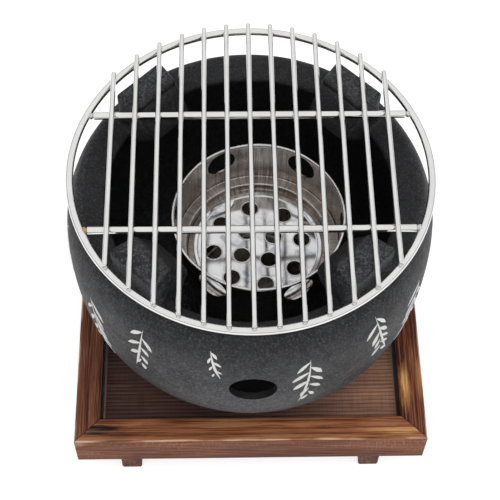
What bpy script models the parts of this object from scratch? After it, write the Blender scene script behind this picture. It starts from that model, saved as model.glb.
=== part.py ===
"""Table barbecue: a round wire grate on a cast bowl, with a stepped charcoal cup inside, on a wooden tray.

Metres, +Z up, +Y to the back. The origin is under the middle of the tray, where its battens stand.
"""

import math

import bmesh
import bpy
from mathutils import Matrix, Vector

MM = 0.001

# The gap between two pieces that touch.
SEAT = 0.3 * MM

# Wooden tray
TRAY_SIDE = 207 * MM
RAIL_WIDTH = 15 * MM
RAIL_HEIGHT = 28 * MM
RAIL_ROUNDING = 1.6 * MM
BATTEN_WIDTH = 12 * MM
BATTEN_OFFSET = 72 * MM
BATTEN_INSET = 2 * MM
BATTEN_FOOT = 16 * MM
BATTEN_LAP_CLEARANCE = 1 * MM
BATTEN_ROUNDING = 0.8 * MM
BOARD_THICKNESS = 9 * MM
BOARD_RECESS = 10 * MM
BOARD_SIDE_GAP = 1.2 * MM
BOARD_ROUNDING = 0.6 * MM
SCREW_HEAD_DIAMETER = 7 * MM
SCREW_HEAD_SINK = 1 * MM
SCREW_HEAD_DEPTH = 3 * MM
SCREW_SHANK_DIAMETER = 3.5 * MM
SCREW_LENGTH = 28 * MM
SCREW_CLEARANCE = 0.4 * MM

# Cast bowl
BOWL_HEIGHT = 119 * MM
BOWL_BELLY_RADIUS = 103.7 * MM
BOWL_BELLY_HEIGHT = 83.4 * MM
BOWL_RIM_INSET = 8.7 * MM
BOWL_FOOT_RADIUS = 40 * MM
BOWL_SHOULDER_INSET = 23.7 * MM
BOWL_FULLNESS = 2.6
BOWL_WALL = 4 * MM
BOWL_FLOOR = 5 * MM
BOWL_UNDERSIDE_RECESS = 1.2 * MM
BOWL_FOOT_RING = 8 * MM
LIP_WIDTH = 15 * MM
LIP_DROP = 4.5 * MM
LIP_THICKNESS = 5 * MM
LIP_NOSE_END = 100
RIM_ROUNDING = 1.5 * MM
VENT_DIAMETER = 26 * MM
VENT_HEIGHT = 79 * MM

# The four lugs inside the bowl's rim, which carry the grate's bars
LUG_COUNT = 4
LUG_START = 45
LUG_RISE = 18.8 * MM
LUG_RIM_INSET = 6 * MM
LUG_LENGTH = 17 * MM
LUG_INNER_WIDTH = 30 * MM
LUG_OUTER_WIDTH = 36 * MM
LUG_TOE_REACH = 30 * MM
LUG_TOE_DROP = 20 * MM
LUG_TOE_WIDTH = 28 * MM
LUG_ROOT_DROP = 62 * MM
LUG_ROOT_WIDTH = 40 * MM
LUG_BITE = 1 * MM
LUG_ROUNDING = 5 * MM
PAD_STEP = 2.2 * MM
PAD_INSET = 0.8 * MM
PAD_DEPTH = 8 * MM
PAD_ROUNDING = 2.4 * MM

# Stepped charcoal cup
SHEET = 1 * MM
CUP_RADIUS = 50 * MM
CUP_WALL_HEIGHT = 31 * MM
CUP_RIM_ROLL = 1.9 * MM
CUP_HOLE_DIAMETER = 18 * MM
CUP_HOLE_DROP = 10.7 * MM
CUP_HOLE_COUNT = 6
CUP_HOLE_START = 56.5
CUP_STEP_HEIGHT = 56 * MM
NECK_RADIUS = 41.5 * MM
NECK_LIP = 1.2 * MM
PAN_CORNER = 5 * MM
BEAD_HEIGHT = 4 * MM
PLATE_DROP = 3.6 * MM
CUP_OFFSET = 5 * MM

# Perforated ember plate
PLATE_RADIUS = 37.9 * MM
PLATE_THICKNESS = 1 * MM
PLATE_RIM = 1.5 * MM
PLATE_SEAT_WIDTH = 1.8 * MM
PLATE_HOLE_DIAMETER = 9.5 * MM
PLATE_INNER_RING = 11.4 * MM
PLATE_OUTER_RING = 26.5 * MM
PLATE_INNER_HOLES = 4
PLATE_OUTER_HOLES = 8
PLATE_INNER_START = 33.75
PLATE_OUTER_START = 9.0

# Wire grate
RING_OVERHANG = 5 * MM
RING_WIRE = 4.2 * MM
BAR_WIRE = 2.9 * MM
BAR_COUNT = 13
BAR_SIDE_SPACE = 23.8 * MM
BAR_END_ROUNDING = 0.7 * MM
BAR_BACK_REACH = 0.4 * MM
ROD_OFFSET = 37.5 * MM

# Levels and places that follow from the sizes above
BOWL_RIM_RADIUS = BOWL_BELLY_RADIUS - BOWL_RIM_INSET
BOWL_SHOULDER_RADIUS = BOWL_BELLY_RADIUS - BOWL_SHOULDER_INSET
LIP_RADIUS = BOWL_RIM_RADIUS - LIP_WIDTH
LUG_OUTER = BOWL_RIM_RADIUS - LUG_RIM_INSET
LUG_INNER = LUG_OUTER - LUG_LENGTH
LUG_TOE_INNER = LUG_OUTER - LUG_TOE_REACH
TRAY_TOP = BATTEN_FOOT + RAIL_HEIGHT
BOARD_TOP = TRAY_TOP - BOARD_RECESS
BOWL_BASE = BOARD_TOP + SEAT
RIM_TOP = BOWL_BASE + BOWL_HEIGHT
LUG_TOP = RIM_TOP + LUG_RISE
BAR_LEVEL = LUG_TOP + SEAT + BAR_WIRE / 2
RING_LEVEL = BAR_LEVEL - BAR_WIRE / 2 - SEAT - RING_WIRE / 2
RING_OUTER_RADIUS = BOWL_RIM_RADIUS + RING_OVERHANG
RING_RADIUS = RING_OUTER_RADIUS - RING_WIRE / 2
BAR_PITCH = 2 * (RING_OUTER_RADIUS - BAR_SIDE_SPACE) / (BAR_COUNT - 1)
CUP_BASE = BOWL_BASE + BOWL_FLOOR + SEAT
CUP_LEDGE = CUP_BASE + CUP_STEP_HEIGHT
CUP_TOP = CUP_LEDGE + CUP_WALL_HEIGHT
PLATE_LEVEL = CUP_LEDGE - PLATE_DROP
TURN_STEPS = 60
PLATE_STEPS = 72


def clear_scene():
    for obj in list(bpy.data.objects):
        bpy.data.objects.remove(obj, do_unlink=True)


def new_collection(name):
    collection = bpy.data.collections.new(name)
    bpy.context.scene.collection.children.link(collection)
    return collection


def new_material(name, color, roughness, metallic):
    material = bpy.data.materials.new(name)
    material.use_nodes = True
    shader = material.node_tree.nodes["Principled BSDF"]
    shader.inputs["Base Color"].default_value = (*color, 1.0)
    shader.inputs["Roughness"].default_value = roughness
    shader.inputs["Metallic"].default_value = metallic
    material.diffuse_color = (*color, 1.0)
    return material


def place(obj, collection, material=None):
    """Moves the object into its collection and gives it its material."""
    for old in list(obj.users_collection):
        old.objects.unlink(obj)
    collection.objects.link(obj)
    if material is not None:
        obj.data.materials.clear()
        obj.data.materials.append(material)
    return obj


def as_helper(obj):
    """Marks a cutter or a shape that is joined to another piece."""
    place(obj, HELPERS)
    obj.hide_render = True
    obj.display_type = "WIRE"
    return obj


def add_bevel(obj, width, segments=2, angle=40):
    bevel = obj.modifiers.new("Bevel", "BEVEL")
    bevel.width = width
    bevel.segments = segments
    bevel.limit_method = "ANGLE"
    bevel.angle_limit = math.radians(angle)


def add_boolean(obj, other, operation):
    boolean = obj.modifiers.new(operation.title(), "BOOLEAN")
    boolean.operation = operation
    boolean.object = other
    boolean.solver = "EXACT"


def box(name, size, center):
    bpy.ops.mesh.primitive_cube_add(size=1, location=center)
    obj = bpy.context.object
    obj.name = name
    obj.data.transform(Matrix.Diagonal((*size, 1.0)))
    return obj


def cylinder(name, radius, depth, center, turn=(0.0, 0.0, 0.0), sides=32):
    bpy.ops.mesh.primitive_cylinder_add(
        vertices=sides, radius=radius, depth=depth, location=center, rotation=turn
    )
    obj = bpy.context.object
    obj.name = name
    return obj


def flat_outline(name, points, thickness):
    """A closed outline in the XY plane, as thick as asked, middle on the plane."""
    curve = bpy.data.curves.new(name, "CURVE")
    curve.dimensions = "2D"
    curve.fill_mode = "BOTH"
    curve.extrude = thickness / 2
    spline = curve.splines.new("POLY")
    spline.points.add(len(points) - 1)
    for point, (x, y) in zip(spline.points, points):
        point.co = (x, y, 0.0, 1.0)
    spline.use_cyclic_u = True
    obj = bpy.data.objects.new(name, curve)
    bpy.context.scene.collection.objects.link(obj)
    return obj


def curve_to_mesh(obj):
    """Replaces a curve object by a closed mesh of the same name and place, so that a Boolean takes it."""
    bpy.context.view_layer.update()
    graph = bpy.context.evaluated_depsgraph_get()
    mesh = bpy.data.meshes.new_from_object(obj.evaluated_get(graph))
    bm = bmesh.new()
    bm.from_mesh(mesh)
    bmesh.ops.remove_doubles(bm, verts=bm.verts, dist=0.00001)
    bmesh.ops.recalc_face_normals(bm, faces=bm.faces)
    bm.to_mesh(mesh)
    bm.free()
    name, matrix = obj.name, obj.matrix_world.copy()
    bpy.data.objects.remove(obj, do_unlink=True)
    solid = bpy.data.objects.new(name, mesh)
    solid.matrix_world = matrix
    bpy.context.scene.collection.objects.link(solid)
    return solid


def turned(name, profile, steps=TURN_STEPS):
    """A solid of revolution round Z. The profile is a closed loop of (radius, height) or ends on the axis."""
    mesh = bpy.data.meshes.new(name)
    bm = bmesh.new()
    verts = [bm.verts.new((radius, 0.0, height)) for radius, height in profile]
    for a, b in zip(verts, verts[1:]):
        bm.edges.new((a, b))
    if profile[0][0] > 0 and profile[-1][0] > 0:
        bm.edges.new((verts[-1], verts[0]))
    bm.to_mesh(mesh)
    bm.free()
    obj = bpy.data.objects.new(name, mesh)
    bpy.context.scene.collection.objects.link(obj)
    screw = obj.modifiers.new("Screw", "SCREW")
    screw.steps = screw.render_steps = steps
    screw.use_merge_vertices = True
    screw.merge_threshold = 0.00001
    screw.use_smooth_shade = True
    return obj


def wire(name, points, diameter, end_rounding):
    """A straight or bent wire with filled caps and slightly rounded ends."""
    first, last = Vector(points[0]), Vector(points[-1])
    into_first = (Vector(points[1]) - first).normalized() * end_rounding
    into_last = (Vector(points[-2]) - last).normalized() * end_rounding
    route = [first, first + into_first, *[Vector(p) for p in points[1:-1]], last + into_last, last]
    end_radius = 1.0 - end_rounding / (diameter / 2)
    radii = [end_radius] + [1.0] * (len(route) - 2) + [end_radius]
    curve = bpy.data.curves.new(name, "CURVE")
    curve.dimensions = "3D"
    curve.bevel_depth = diameter / 2
    curve.bevel_resolution = 2
    curve.use_fill_caps = True
    spline = curve.splines.new("POLY")
    spline.points.add(len(route) - 1)
    for point, co, radius in zip(spline.points, route, radii):
        point.co = (*co, 1.0)
        point.radius = radius
    obj = bpy.data.objects.new(name, curve)
    bpy.context.scene.collection.objects.link(obj)
    return obj


def arc(center, radius, start, end, count):
    """Points (x, y) along an arc, angles in degrees."""
    turns = [math.radians(start + (end - start) * i / (count - 1)) for i in range(count)]
    return [(center[0] + radius * math.cos(t), center[1] + radius * math.sin(t)) for t in turns]


def superellipse(width, height, fullness, start, end, count):
    """Points (x, y) of a rounded square quarter, from angle start to end in degrees."""
    points = []
    for i in range(count):
        t = math.radians(start + (end - start) * i / (count - 1))
        across = max(math.cos(t), 0.0) ** (2 / fullness)
        along = max(math.sin(t), 0.0) ** (2 / fullness)
        points.append((width * across, height * along))
    return points


def make_tray():
    """Four mitred rails, a board lying on two battens, and the screws that hold the battens."""
    inner = TRAY_SIDE / 2 - RAIL_WIDTH
    for name, turn in (("rail_front", 0), ("rail_right", 90), ("rail_back", 180), ("rail_left", 270)):
        rail = make_rail(name, turn)
        if name in ("rail_front", "rail_back"):
            for side in (-1, 1):
                add_boolean(rail, screw_hole(name, side, -1 if name == "rail_front" else 1), "DIFFERENCE")
        place(rail, PARTS, new_material(name, WOOD_COLORS[name], 0.6, 0.0))
    board_side = 2 * (inner - BOARD_SIDE_GAP)
    board_size = (board_side, 2 * (inner - SEAT), BOARD_THICKNESS)
    board = box("floor_board", board_size, (0, 0, BOARD_TOP - BOARD_THICKNESS / 2))
    add_bevel(board, BOARD_ROUNDING, segments=1)
    place(board, PARTS, new_material("floor_board", (0.055, 0.032, 0.028), 0.65, 0.0))
    for name, side in (("batten_left", -1), ("batten_right", 1)):
        make_batten(name, side)


def make_rail(name, turn):
    """A rail with rounded long edges and both ends cut at 45 degrees, turned to its side of the tray."""
    middle = -(TRAY_SIDE - RAIL_WIDTH) / 2
    rail = box(name, (TRAY_SIDE, RAIL_WIDTH, RAIL_HEIGHT), (0, 0, 0))
    bm = bmesh.new()
    bm.from_mesh(rail.data)
    long_edges = [edge for edge in bm.edges if abs(edge.verts[0].co.x - edge.verts[1].co.x) > RAIL_WIDTH]
    bmesh.ops.bevel(bm, geom=long_edges, offset=RAIL_ROUNDING, segments=3, profile=0.5, affect="EDGES")
    mitre_gap = SEAT / math.sqrt(2)
    for vert in bm.verts:
        vert.co.y += middle
        vert.co.x = math.copysign(abs(vert.co.y) - mitre_gap, vert.co.x)
    bm.to_mesh(rail.data)
    bm.free()
    rail.rotation_euler.z = math.radians(turn)
    rail.location.z = BATTEN_FOOT + RAIL_HEIGHT / 2
    return rail


def make_batten(name, side):
    """A strip from front to back: its middle is taller, between the rails, and carries the board."""
    reach = TRAY_SIDE / 2 - BATTEN_INSET
    shoulder = TRAY_SIDE / 2 - RAIL_WIDTH - BATTEN_LAP_CLEARANCE
    low, high = BATTEN_FOOT - SEAT, BOARD_TOP - BOARD_THICKNESS - SEAT
    outline = [(-reach, 0), (reach, 0), (reach, low), (shoulder, low), (shoulder, high),
               (-shoulder, high), (-shoulder, low), (-reach, low)]
    batten = flat_outline(name, outline, BATTEN_WIDTH)
    batten.rotation_euler = (math.radians(90), 0, math.radians(90))
    batten.location.x = side * BATTEN_OFFSET
    batten = curve_to_mesh(batten)
    for end in (-1, 1):
        add_boolean(batten, screw_hole(name, side, end), "DIFFERENCE")
        make_screw(side, end)
    add_bevel(batten, BATTEN_ROUNDING, segments=1, angle=60)
    place(batten, PARTS, new_material(name, (0.16, 0.07, 0.035), 0.6, 0.0))


def screw_place(side, end):
    return side * BATTEN_OFFSET, end * (TRAY_SIDE - RAIL_WIDTH) / 2


def screw_hole(name, side, end):
    """The stepped hole that a screw goes up through, wider than the screw by the clearance."""
    x, y = screw_place(side, end)
    top = SCREW_HEAD_SINK + SCREW_LENGTH + SCREW_CLEARANCE
    head = SCREW_HEAD_SINK + SCREW_HEAD_DEPTH + SCREW_CLEARANCE
    below = -2 * SCREW_CLEARANCE
    wide = SCREW_HEAD_DIAMETER / 2 + SCREW_CLEARANCE
    narrow = SCREW_SHANK_DIAMETER / 2 + SCREW_CLEARANCE
    hole = turned(
        f"{name}_screw_hole_{side}_{end}",
        [(0, top), (narrow, top), (narrow, head), (wide, SCREW_HEAD_SINK), (wide, below), (0, below)],
        steps=16,
    )
    hole.location = (x, y, 0)
    return as_helper(hole)


def make_screw(side, end):
    """A countersunk wood screw, head down, up through a batten into a rail."""
    x, y = screw_place(side, end)
    shank = SCREW_SHANK_DIAMETER / 2
    head_low, head_high = SCREW_HEAD_SINK, SCREW_HEAD_SINK + SCREW_HEAD_DEPTH
    top = head_low + SCREW_LENGTH
    head = SCREW_HEAD_DIAMETER / 2
    screw = turned(
        f"screw_{'front' if end < 0 else 'back'}_{'left' if side < 0 else 'right'}",
        [(0, top), (shank, top - 2 * shank), (shank, head_high), (head, head_low), (0, head_low)],
        steps=16,
    )
    screw.location = (x, y, 0)
    place(screw, PARTS, new_material(screw.name, (0.5, 0.5, 0.52), 0.35, 1.0))


def bowl_side(inset, floor, top):
    """The bowl's side from the height top down to its floor, drawn in from the outside by inset."""
    lower = superellipse(
        BOWL_BELLY_RADIUS - BOWL_FOOT_RADIUS - inset, BOWL_BELLY_HEIGHT - floor, BOWL_FULLNESS, 0, 90, 13
    )
    shoulder_rise = shoulder_height() - inset
    end = math.degrees(math.asin(((top - BOWL_BELLY_HEIGHT) / shoulder_rise) ** (BOWL_FULLNESS / 2)))
    upper = superellipse(
        BOWL_BELLY_RADIUS - BOWL_SHOULDER_RADIUS - inset, shoulder_rise, BOWL_FULLNESS, end, 0, 9
    )
    points = [(BOWL_SHOULDER_RADIUS + x, BOWL_BELLY_HEIGHT + y) for x, y in upper[:-1]]
    return points + [(BOWL_FOOT_RADIUS + x, BOWL_BELLY_HEIGHT - y) for x, y in lower]


def shoulder_height():
    """Height of the shoulder's curve above the belly, so that it passes through the rim."""
    share = (BOWL_RIM_RADIUS - BOWL_SHOULDER_RADIUS) / (BOWL_BELLY_RADIUS - BOWL_SHOULDER_RADIUS)
    return (BOWL_HEIGHT - BOWL_BELLY_HEIGHT) / (1 - share ** BOWL_FULLNESS) ** (1 / BOWL_FULLNESS)


def bowl_profile():
    """The bowl's section in one line: from the axis inside, over the lip and the rim, to the axis underneath."""
    outside = bowl_side(0.0, 0.0, BOWL_HEIGHT - RIM_ROUNDING)
    recess_edge = BOWL_FOOT_RADIUS - BOWL_FOOT_RING
    recess = BOWL_UNDERSIDE_RECESS
    foot = [(recess_edge, 0.0), (recess_edge - recess, recess), (0.0, recess)]
    lip_top = BOWL_HEIGHT - LIP_DROP
    nose = LIP_THICKNESS / 2
    nose_arc = arc((LIP_RADIUS + nose, lip_top - nose), nose, 270, LIP_NOSE_END, 7)
    under = lip_top - LIP_THICKNESS
    inside = bowl_side(BOWL_WALL, BOWL_FLOOR, under)
    rim = [(BOWL_RIM_RADIUS - RIM_ROUNDING, BOWL_HEIGHT)]
    return [(0.0, BOWL_FLOOR)] + inside[::-1] + nose_arc + rim + outside + foot


def make_bowl():
    body = turned("bowl", bowl_profile())
    body.location.z = BOWL_BASE
    for i in range(LUG_COUNT):
        azimuth = LUG_START + 360 / LUG_COUNT * i
        buttress = make_lug_piece(f"buttress_{i + 1}", buttress_outline(), azimuth, LUG_ROUNDING)
        pad = make_lug_piece(f"pad_{i + 1}", pad_outline(), azimuth, PAD_ROUNDING)
        add_boolean(body, buttress, "UNION")
        add_boolean(body, pad, "UNION")
    add_boolean(body, make_vent(), "DIFFERENCE")
    place(body, PARTS, new_material("bowl", (0.03, 0.031, 0.034), 0.55, 0.2))


def buttress_outline():
    """A lug's buttress from the side: (distance from the axis, height above the bowl's base, width there)."""
    pad_top = BOWL_HEIGHT + LUG_RISE
    top = pad_top - PAD_STEP
    in_wall = BOWL_BELLY_RADIUS - BOWL_WALL + LUG_BITE
    in_lip = BOWL_HEIGHT - LIP_DROP - LIP_THICKNESS / 2
    return [
        (LUG_OUTER - PAD_INSET, top, LUG_OUTER_WIDTH),
        (LUG_INNER - PAD_INSET, top, LUG_INNER_WIDTH),
        (LUG_TOE_INNER, pad_top - LUG_TOE_DROP, LUG_TOE_WIDTH),
        (in_wall, pad_top - LUG_ROOT_DROP, LUG_ROOT_WIDTH),
        (in_wall - LUG_BITE, in_lip - 2 * LIP_THICKNESS, LUG_ROOT_WIDTH),
        (BOWL_RIM_RADIUS + LUG_BITE, in_lip, LUG_ROOT_WIDTH),
        (LUG_OUTER - PAD_INSET, in_lip, LUG_ROOT_WIDTH),
    ]


def pad_outline():
    """The flat pad on top of a lug, given as its buttress is."""
    top = BOWL_HEIGHT + LUG_RISE
    outer_width, inner_width = LUG_OUTER_WIDTH - 2 * PAD_INSET, LUG_INNER_WIDTH - 2 * PAD_INSET
    return [
        (LUG_OUTER, top, outer_width),
        (LUG_INNER, top, inner_width),
        (LUG_INNER, top - PAD_DEPTH, inner_width),
        (LUG_OUTER, top - PAD_DEPTH, outer_width),
    ]


def make_lug_piece(name, outline, azimuth, rounding):
    """The outline given its widths, with the edges rounded that stand clear of the bowl's wall."""
    mesh = bpy.data.meshes.new(name)
    bm = bmesh.new()
    sides = [[bm.verts.new((x, side * width / 2, z)) for x, z, width in outline] for side in (-1, 1)]
    bm.faces.new(sides[0])
    bm.faces.new(sides[1][::-1])
    count = len(outline)
    for i in range(count):
        following = (i + 1) % count
        bm.faces.new((sides[0][following], sides[0][i], sides[1][i], sides[1][following]))
    lip = BOWL_HEIGHT - LIP_DROP - LIP_THICKNESS
    clear = [
        edge for edge in bm.edges
        if max(vert.co.z for vert in edge.verts) > lip and min(vert.co.x for vert in edge.verts) < LUG_OUTER
    ]
    bmesh.ops.bevel(
        bm, geom=clear, offset=rounding, segments=3, profile=0.5, affect="EDGES", clamp_overlap=True
    )
    bmesh.ops.triangulate(bm, faces=bm.faces)
    bmesh.ops.recalc_face_normals(bm, faces=bm.faces)
    bm.to_mesh(mesh)
    bm.free()
    piece = bpy.data.objects.new(name, mesh)
    bpy.context.scene.collection.objects.link(piece)
    piece.rotation_euler.z = math.radians(azimuth)
    piece.location.z = BOWL_BASE
    return as_helper(piece)


def make_vent():
    """A round cutter through the front wall only."""
    reach = 3 * BOWL_WALL
    cutter = cylinder(
        "vent_cutter",
        VENT_DIAMETER / 2,
        2 * reach,
        (0, -(BOWL_BELLY_RADIUS - BOWL_WALL / 2), BOWL_BASE + VENT_HEIGHT),
        (math.radians(90), 0, 0),
        sides=40,
    )
    return as_helper(cutter)


def make_cup():
    """Stepped sheet cup: a wide upper wall, a ledge, a narrower pan, and a bead that carries the plate."""
    top, ledge, base = CUP_TOP - CUP_BASE, CUP_STEP_HEIGHT, 0.0
    wall_out = CUP_RADIUS - CUP_RIM_ROLL / 2
    neck_out = NECK_RADIUS + SHEET
    bead_top = ledge - PLATE_DROP - PLATE_THICKNESS - SEAT
    bead_base = bead_top - BEAD_HEIGHT
    bead_nose = PLATE_RADIUS - PLATE_SEAT_WIDTH
    groove_top, groove_base, groove = bead_top - SHEET, bead_base + SHEET, bead_nose + SHEET
    outer_bead = [(neck_out, groove_top), (groove, groove_top)]
    outer_bead += [(groove, groove_base), (neck_out, groove_base)]
    inner_bead = [(NECK_RADIUS, bead_base), (bead_nose, bead_base)]
    inner_bead += [(bead_nose, bead_top), (NECK_RADIUS, bead_top)]
    roll = CUP_RIM_ROLL / 2
    outer = arc((CUP_RADIUS - roll, top - roll), roll, 90, -60, 6)
    outer += [(wall_out, top - 2 * roll), (wall_out, ledge + SHEET)]
    outer += arc((wall_out - 2 * SHEET, ledge + SHEET), 2 * SHEET, 0, -90, 4)[1:]
    outer += [(neck_out, ledge - SHEET)] + outer_bead
    outer += arc((neck_out - PAN_CORNER, base + PAN_CORNER), PAN_CORNER, 0, -90, 5) + [(0.0, base)]
    inner = [(0.0, base + SHEET)]
    inner += arc((NECK_RADIUS - (PAN_CORNER - SHEET), base + PAN_CORNER), PAN_CORNER - SHEET, -90, 0, 5)
    inner += inner_bead + [(NECK_RADIUS, ledge - NECK_LIP)]
    inner += arc((NECK_RADIUS + NECK_LIP, ledge - NECK_LIP), NECK_LIP, 180, 90, 4)[1:]
    inner += [(wall_out - 2 * SHEET, ledge), (wall_out - SHEET, ledge + SHEET)]
    inner += [(wall_out - SHEET, top - 2 * roll)]
    cup = turned("charcoal_cup", inner + outer)
    cup.location = (CUP_OFFSET, 0, CUP_BASE)
    for i in range(CUP_HOLE_COUNT // 2):
        add_boolean(cup, make_cup_cutter(i), "DIFFERENCE")
    place(cup, PARTS, new_material("charcoal_cup", (0.62, 0.58, 0.55), 0.3, 1.0))


def make_cup_cutter(number):
    """One rod cuts two holes, on opposite sides of the upper wall."""
    azimuth = math.radians(CUP_HOLE_START + 360 / CUP_HOLE_COUNT * number)
    cutter = cylinder(
        f"cup_hole_cutter_{number + 1}",
        CUP_HOLE_DIAMETER / 2,
        2 * (CUP_RADIUS + SHEET),
        (CUP_OFFSET, 0, CUP_TOP - CUP_HOLE_DROP),
        (0, math.radians(90), azimuth),
        sides=28,
    )
    return as_helper(cutter)


def make_plate():
    """Round plate with a raised rim and two rings of holes."""
    plate = turned(
        "ember_plate",
        [
            (0.0, PLATE_THICKNESS),
            (PLATE_RADIUS - PLATE_RIM, PLATE_THICKNESS),
            (PLATE_RADIUS - PLATE_RIM / 2, PLATE_THICKNESS + PLATE_RIM / 2),
            (PLATE_RADIUS, PLATE_THICKNESS + PLATE_RIM / 2),
            (PLATE_RADIUS, PLATE_RIM / 2),
            (PLATE_RADIUS - PLATE_RIM / 2, 0.0),
            (0.0, 0.0),
        ],
        steps=PLATE_STEPS,
    )
    plate.location = (CUP_OFFSET, 0, PLATE_LEVEL - PLATE_THICKNESS)
    rings = (
        (PLATE_INNER_RING, PLATE_INNER_HOLES, PLATE_INNER_START),
        (PLATE_OUTER_RING, PLATE_OUTER_HOLES, PLATE_OUTER_START),
    )
    for radius, count, start in rings:
        for i in range(count):
            turn = math.radians(start + 360 / count * i)
            center = (CUP_OFFSET + radius * math.cos(turn), radius * math.sin(turn), PLATE_LEVEL)
            name = f"plate_hole_{count}_{i + 1}"
            cutter = cylinder(name, PLATE_HOLE_DIAMETER / 2, 6 * PLATE_THICKNESS, center, sides=20)
            add_boolean(plate, as_helper(cutter), "DIFFERENCE")
    place(plate, PARTS, new_material("ember_plate", (0.75, 0.75, 0.77), 0.2, 1.0))


def make_grate():
    """A ring, two rods between its sides, and bars from front to back on top of them."""
    bpy.ops.mesh.primitive_torus_add(
        major_radius=RING_RADIUS,
        minor_radius=RING_WIRE / 2,
        major_segments=80,
        minor_segments=8,
        location=(0, 0, RING_LEVEL),
    )
    ring = bpy.context.object
    ring.name = "grate_ring"
    ring.data.shade_smooth()
    place(ring, PARTS, new_material("grate_ring", STEEL, 0.15, 1.0))
    clear_radius = RING_RADIUS - RING_WIRE / 2 - SEAT
    rod_reach = math.sqrt(clear_radius ** 2 - (ROD_OFFSET + RING_WIRE / 2) ** 2)
    for name, y in (("cross_rod_front", -ROD_OFFSET), ("cross_rod_back", ROD_OFFSET)):
        ends = [(-rod_reach, y, RING_LEVEL), (rod_reach, y, RING_LEVEL)]
        rod = wire(name, ends, RING_WIRE, BAR_END_ROUNDING)
        place(rod, PARTS, new_material(name, STEEL, 0.15, 1.0))
    for i in range(BAR_COUNT):
        x = (i - (BAR_COUNT - 1) / 2) * BAR_PITCH
        front = -math.sqrt(RING_RADIUS ** 2 - x ** 2)
        back = math.sqrt(RING_OUTER_RADIUS ** 2 - x ** 2) + BAR_BACK_REACH
        name = f"grate_bar_{i + 1:02d}"
        bar = wire(name, [(x, front, BAR_LEVEL), (x, back, BAR_LEVEL)], BAR_WIRE, BAR_END_ROUNDING)
        place(bar, PARTS, new_material(name, STEEL, 0.15, 1.0))


clear_scene()
PARTS = new_collection("table_barbecue")
HELPERS = new_collection("cutters")
STEEL = (0.82, 0.82, 0.83)
WOOD_COLORS = {
    "rail_front": (0.19, 0.085, 0.035),
    "rail_back": (0.17, 0.075, 0.035),
    "rail_left": (0.12, 0.045, 0.03),
    "rail_right": (0.21, 0.1, 0.04),
}
make_tray()
make_bowl()
make_cup()
make_plate()
make_grate()
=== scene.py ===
"""Looks of the table barbecue: a coated cast bowl, a sheet steel cup and plate, a welded wire grate and
a scorched wooden tray.

Metres, +Z up, +Y to the back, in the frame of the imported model.
"""

import math
import random

import bmesh
import bpy
from mathutils import Matrix, Vector, noise


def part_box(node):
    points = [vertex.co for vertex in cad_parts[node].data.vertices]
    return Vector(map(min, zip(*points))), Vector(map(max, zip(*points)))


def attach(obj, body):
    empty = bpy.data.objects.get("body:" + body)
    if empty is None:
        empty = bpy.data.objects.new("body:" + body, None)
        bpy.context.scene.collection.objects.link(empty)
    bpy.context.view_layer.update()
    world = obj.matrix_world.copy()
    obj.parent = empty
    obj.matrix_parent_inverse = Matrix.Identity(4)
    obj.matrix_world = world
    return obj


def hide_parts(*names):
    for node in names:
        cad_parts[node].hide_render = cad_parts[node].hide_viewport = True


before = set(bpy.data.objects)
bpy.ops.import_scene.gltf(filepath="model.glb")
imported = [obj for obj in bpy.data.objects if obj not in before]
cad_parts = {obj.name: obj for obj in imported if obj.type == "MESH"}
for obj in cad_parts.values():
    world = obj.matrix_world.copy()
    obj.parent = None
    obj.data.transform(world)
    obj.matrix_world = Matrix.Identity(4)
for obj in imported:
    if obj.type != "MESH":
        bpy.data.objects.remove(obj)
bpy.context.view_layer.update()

MM = 0.001
random.seed(7)

# Camera
LENS = 92.97
SENSOR = 36
EYE = (-15.1 * MM, -398.9 * MM, 744.1 * MM)
PITCH = 58.707
YAW = 2.24
ROLL = 1.435

# Studio: place, aim, size and power of each lamp
LAMPS = {
    "top lamp": ((0.15, -0.2, 1.3), (0, 0, 0.1), 1.5, 7.5),
    "front lamp": ((-0.7, -1.1, 0.7), (0, 0, 0.08), 1.2, 5.0),
    "right lamp": ((1.1, -0.4, 0.6), (0, 0, 0.08), 1.0, 3.0),
}
WORLD_LIGHT = 0.42
BAND_DIM = 0.85
FLOOR_GREY = 0.55
FLOOR_GLOW = 0.72

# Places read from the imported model
BOWL_LOW, BOWL_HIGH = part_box("bowl")
CUP_LOW, CUP_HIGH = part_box("charcoal_cup")
PLATE_LOW, PLATE_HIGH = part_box("ember_plate")
RING_LOW, RING_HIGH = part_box("grate_ring")
BOARD_LOW, BOARD_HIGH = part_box("floor_board")
FRONT_LOW, FRONT_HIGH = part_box("rail_front")
BOWL_BASE = BOWL_LOW.z
LUG_TOP = BOWL_HIGH.z
CUP_X = (CUP_LOW.x + CUP_HIGH.x) / 2
CUP_BASE = CUP_LOW.z
CUP_TOP = CUP_HIGH.z
SEAT = 0.3 * MM

# Cast bowl, heights above its base
BELLY_RADIUS = BOWL_HIGH.x
BELLY_HEIGHT = 83.4 * MM
RIM_RADIUS = 95 * MM
RIM_HEIGHT = 119 * MM
RIM_ROUNDING = 1.5 * MM
FOOT_RADIUS = 40 * MM
SHOULDER_RADIUS = 80 * MM
FULLNESS = 2.6
WALL = 4 * MM
FLOOR = 5 * MM
FOOT_RING = 8 * MM
FOOT_RECESS = 1.2 * MM
LIP_RADIUS = 80 * MM
LIP_DROP = 4.5 * MM
LIP_THICKNESS = 5 * MM
VENT_DIAMETER = 26 * MM
VENT_HEIGHT = 79 * MM
CAST_VOXEL = 1.74 * MM
CAST_STEPS = 128

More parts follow.
